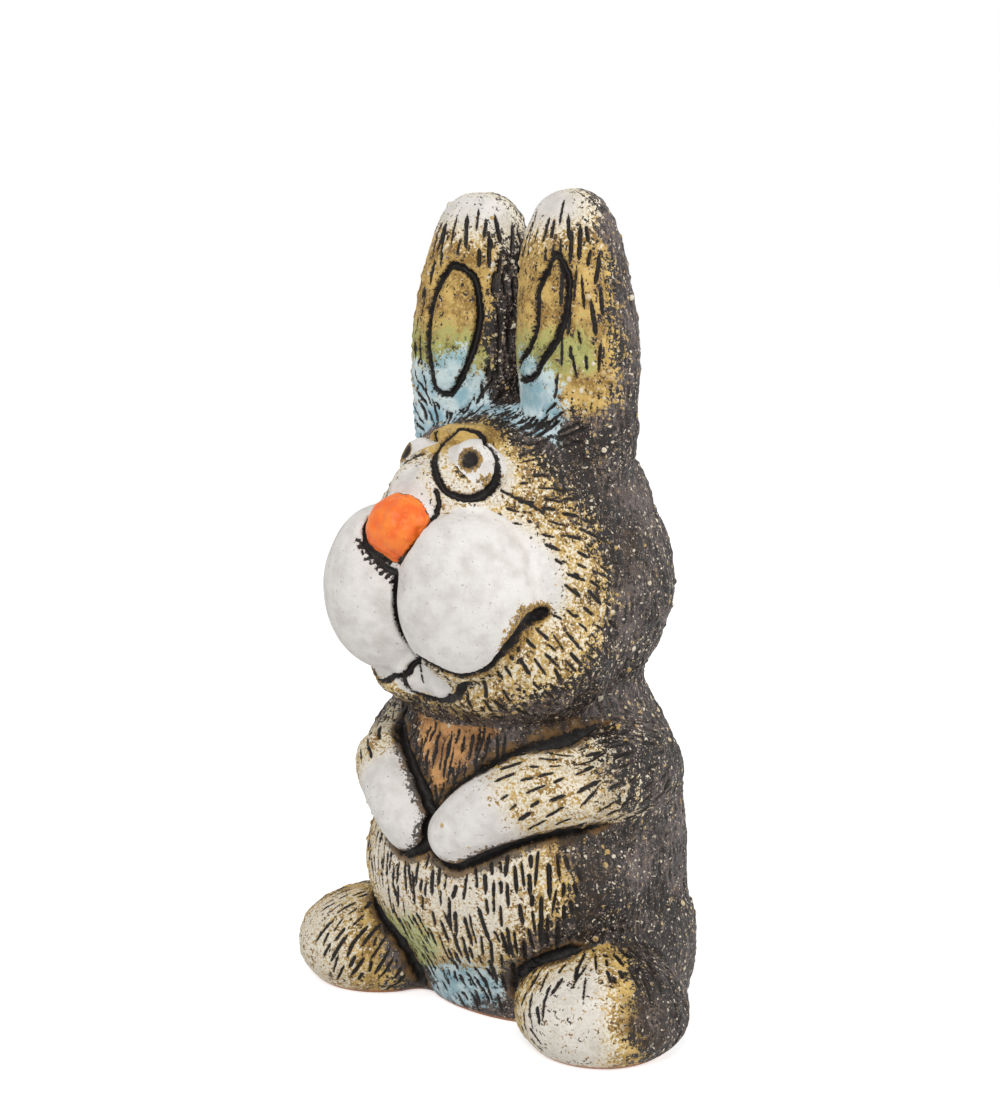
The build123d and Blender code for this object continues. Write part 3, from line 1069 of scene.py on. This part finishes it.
def clay_material(name):
    """Salt-fired clay under broken coats of slip, with black oxide in the cuts, painted shade in the
    creases and a painted sheen on the bare clay.
    """
    paint = Paint(name)
    coats, total = paint.coats, paint.total
    grain = paint.noise(0.75, 2.0, 0.6)
    fine = paint.noise(0.36, 2.0, 0.6)
    patch = paint.noise(2.8, 3.0, 0.55)
    broad = paint.noise(9.0, 2.0, 0.5)
    flecks = paint.noise(0.55, 1.0, 0.5)
    comb = paint.noise(0.7, 3.0, 0.6, stretch=0.16)

    dark = coats(
        (50, 43, 40),
        (comb, 0.38, 0.62, (150, 134, 125)),
        (grain, 0.53, 0.60, (176, 160, 147), 0.75),
        (fine, 0.58, 0.61, (222, 209, 190), 0.9),
        (patch, 0.5, 0.72, (86, 70, 56), 0.45),
    )
    dark = paint.mix(paint.step(fine, 0.36, 0.44, 0.0, 0.8), (30, 26, 24), dark)
    tan = coats((136, 96, 60), (patch, 0.35, 0.65, (204, 152, 98)))
    ochre = coats((146, 112, 54), (patch, 0.38, 0.62, (206, 172, 100)))
    ochre = coats(ochre, (fine, 0.52, 0.64, (226, 196, 128), 0.6))
    thick = coats((232, 228, 223), (patch, 0.35, 0.75, (210, 205, 199)))
    thick = coats(thick, (flecks, 0.72, 0.77, (120, 108, 94), 0.5))
    thin = coats((206, 186, 150), (fine, 0.4, 0.6, (236, 228, 208)))
    white = coats(thin, (paint.attribute("white_paint"), 0.5, 0.85, thick))
    sky = coats((146, 188, 202), (patch, 0.35, 0.65, (208, 226, 230)))
    # Brown for stains round the pupils and for the painted shade on the eyeballs and at the mouth corner
    stain_and_shade = coats((88, 66, 36), (fine, 0.45, 0.55, (176, 138, 62)))
    crumb = coats((188, 158, 100), (patch, 0.4, 0.6, (222, 212, 190)))
    # Dark brown for the painted shade beside the grooves
    groove_shade = coats((46, 37, 30), (patch, 0.4, 0.6, (112, 82, 44)))

    # Bare reddish clay at the very foot and in the hollow
    raw = paint.mix(patch, (176, 104, 58), (206, 142, 90))
    height = paint.node("ShaderNodeSeparateXYZ", {"Vector": paint.place}).outputs["Z"]
    low = paint.math("SUBTRACT", 1.0, paint.step(height, 0.0002, 0.0012))
    colour = coats(
        dark,
        # Grey-lilac patches on the bare clay: a painted sheen
        (total(broad, (grain, 0.9), (fine, 0.7), (comb, 0.6)), 0.5, 0.62, (128, 115, 112), 0.5),
        (flecks, 0.67, 0.70, (224, 210, 188), 0.9),
        (total("tan_paint", (grain, 1.2), (fine, 0.9), (comb, 0.8)), 0.45, 0.56, tan),
        (total("ochre_paint", (grain, 1.6), (fine, 1.2), (comb, 0.9), (patch, 0.5)), 0.46, 0.54, ochre),
        (total("white_paint", (grain, 1.5), (fine, 1.1), (patch, 0.5)), 0.45, 0.53, white),
        (total("lime_paint", (patch, 1.0), (grain, 0.9), (fine, 0.5)), 0.3, 0.75, (156, 176, 108), 0.62),
        (total("sky_paint", (patch, 0.8), (grain, 1.2), (fine, 0.8)), 0.38, 0.6, sky, 0.92),
        (total("stain_and_shade", (grain, 1.3), (fine, 1.2)), 0.44, 0.56, stain_and_shade, 0.95),
        (total("crumb", (fine, 0.5)), 0.4, 0.6, crumb),
        (total("groove_shade", (grain, 1.3), (fine, 1.2)), 0.5, 0.64, groove_shade, 0.9),
        (total("ink_and_shade", (grain, 1.0), (fine, 0.6)), 0.2, 0.7, (92, 68, 40), 0.7),
        (total("ink_and_shade", (fine, 1.0), (grain, 0.7)), 0.42, 0.58, (28, 24, 22)),
        (total(low, (grain, 1.0), (patch, 0.6)), 0.5, 0.7, raw, 0.8),
    )
    colour = paint.mix(paint.attribute("raw_clay"), colour, raw)
    relief_height = paint.math("ADD", grain, paint.math("MULTIPLY", fine, 0.7))
    return paint.finished(colour, paint.step(grain, 0.3, 0.7, 0.74, 0.48), relief_height, 0.16, 0.8, 0.3)


def nose_material(name):
    """Orange glaze, brushed on thickly, with a few dark and yellow specks."""
    paint = Paint(name)
    patch = paint.noise(2.2, 3.0, 0.5)
    specks = paint.noise(0.45, 1.0, 0.5)
    grain = paint.noise(0.8, 2.0, 0.6)
    colour = paint.coats(
        (244, 104, 24),
        (patch, 0.35, 0.65, (252, 132, 40)),
        (specks, 0.72, 0.76, (110, 50, 22), 0.7),
        (grain, 0.70, 0.76, (250, 190, 80), 0.6),
        (paint.total("ink_and_shade", (grain, 0.4)), 0.5, 0.75, (40, 28, 20)),
    )
    return paint.finished(colour, 0.5, patch, 0.35, 0.4)


CLAYS = ("stained_stoneware", "ochre_slip", "white_slip")
MATERIALS = {name: clay_material(name) for name in CLAYS}
MATERIALS["orange_glaze"] = nose_material("orange_glaze")
SLOT_OF = dict.fromkeys(("arm", "foot", "muzzle_pad", "eye", "tooth"), "white_slip")
SLOT_OF |= {"ear": "ochre_slip", "nose": "orange_glaze"}

for index, name in enumerate(NAMES):
    polygons = [face for face, owner in zip(mixed_faces, mixed_label) if owner == index]
    mesh = piece_mesh(name, all_quads[quad_label == index], polygons)
    piece = added(name + "_finish", mesh)
    slot = SLOT_OF.get(name.removeprefix("left_").removeprefix("right_"), "stained_stoneware")
    mesh.materials.append(MATERIALS[slot])
    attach(piece, "root")
    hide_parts(name)

# Floor: it glows only where it is seen directly, to show nearly white
FLOOR_GLOW = 0.62
PLAIN_WHITE = (1, 1, 1, 1)
bpy.ops.mesh.primitive_plane_add(size=40, location=(0, 0, 0))
floor = bpy.context.object
floor.name = "floor"
floor_nodes = Nodes(bpy.data.materials.new("floor"))
floor_look = {
    "Base Color": (0.85, 0.85, 0.85, 1),
    "Roughness": 0.9,
    "Specular IOR Level": 0.1,
    "Emission Color": PLAIN_WHITE,
    "Emission Strength": floor_nodes.math("MULTIPLY", floor_nodes.seen_directly(), FLOOR_GLOW),
}
floor_nodes.fill(floor_nodes.tree.nodes["Principled BSDF"], floor_look)
floor.data.materials.append(floor_nodes.owner)

# World: white where the camera sees it, plain daylight on the object
DAYLIGHT = 0.45
scene.world = bpy.data.worlds.new("studio")
world_nodes = Nodes(scene.world)
daylight = {"Value": world_nodes.seen_directly(), "To Min": DAYLIGHT, "To Max": 1.0}
strength = world_nodes.node("ShaderNodeMapRange", daylight).outputs["Result"]
world_nodes.fill(world_nodes.tree.nodes["Background"], {"Color": PLAIN_WHITE, "Strength": strength})

# Soft square lamps that point at the figure: place in metres, width and power
FIGURE_MIDDLE = (0.0, 0.0, 0.06)
LAMPS = {
    "key_lamp": ((0.38, -0.68, 0.70), 0.45, 5.0),
    "fill_lamp": ((0.78, 0.62, 0.42), 0.6, 4.5),
}
for name, (place, width, power) in LAMPS.items():
    light = bpy.data.lights.new(name, "AREA")
    light.shape = "SQUARE"
    light.size = width
    light.energy = power
    lamp = added(name, light)
    lamp.location = place
    lamp.rotation_euler = (Vector(FIGURE_MIDDLE) - Vector(place)).to_track_quat("-Z", "Y").to_euler()

# Camera
optics = bpy.data.cameras.new("camera")
optics.sensor_width = SENSOR_MM
optics.lens = SENSOR_MM * FOCAL_PIXELS / IMAGE_HEIGHT
optics.clip_start = 0.01
optics.clip_end = 10.0
camera = added("camera", optics)
camera.location = camera_place * MM
camera.rotation_euler = Vector(camera_forward).to_track_quat("-Z", "Y").to_euler()
scene.camera = camera
scene.view_settings.view_transform = "Standard"
